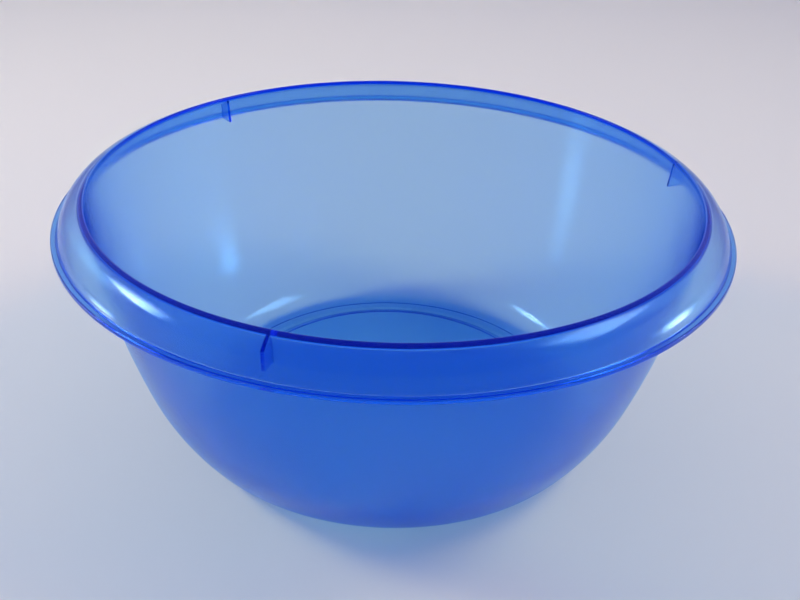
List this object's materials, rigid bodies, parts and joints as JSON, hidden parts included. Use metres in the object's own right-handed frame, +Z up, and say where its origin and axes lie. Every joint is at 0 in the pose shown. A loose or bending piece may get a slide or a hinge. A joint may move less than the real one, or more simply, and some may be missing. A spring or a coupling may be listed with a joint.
{
  "type": "washing up bowl",
  "caption": "Round open bowl with a rounded base, tall side wall and a turned-down rim on thin stacking ribs, in clear blue plastic.",
  "frame": {"origin": "centre of the base, on the plane that the foot ring stands on", "axes": "+Z up along the bowl's axis; +Y away from the usual viewer; the first stacking rib lies 12.5 degrees round from +X"},
  "size_m": [0.36, 0.36, 0.1455],
  "materials": {
    "bowl_blue": "clear blue polypropylene, glossy, see-through"
  },
  "bodies": {
    "root": {"floor_panel": "bowl_blue", "foot_ring": "bowl_blue", "base_step": "bowl_blue", "base_corner": "bowl_blue", "lower_wall": "bowl_blue", "side_wall": "bowl_blue", "lip_bead": "bowl_blue", "rim_skirt": "bowl_blue", "rim_hem": "bowl_blue", "stacking_rib_1": "bowl_blue", "stacking_rib_2": "bowl_blue", "stacking_rib_3": "bowl_blue"}
  },
  "joints": []
}
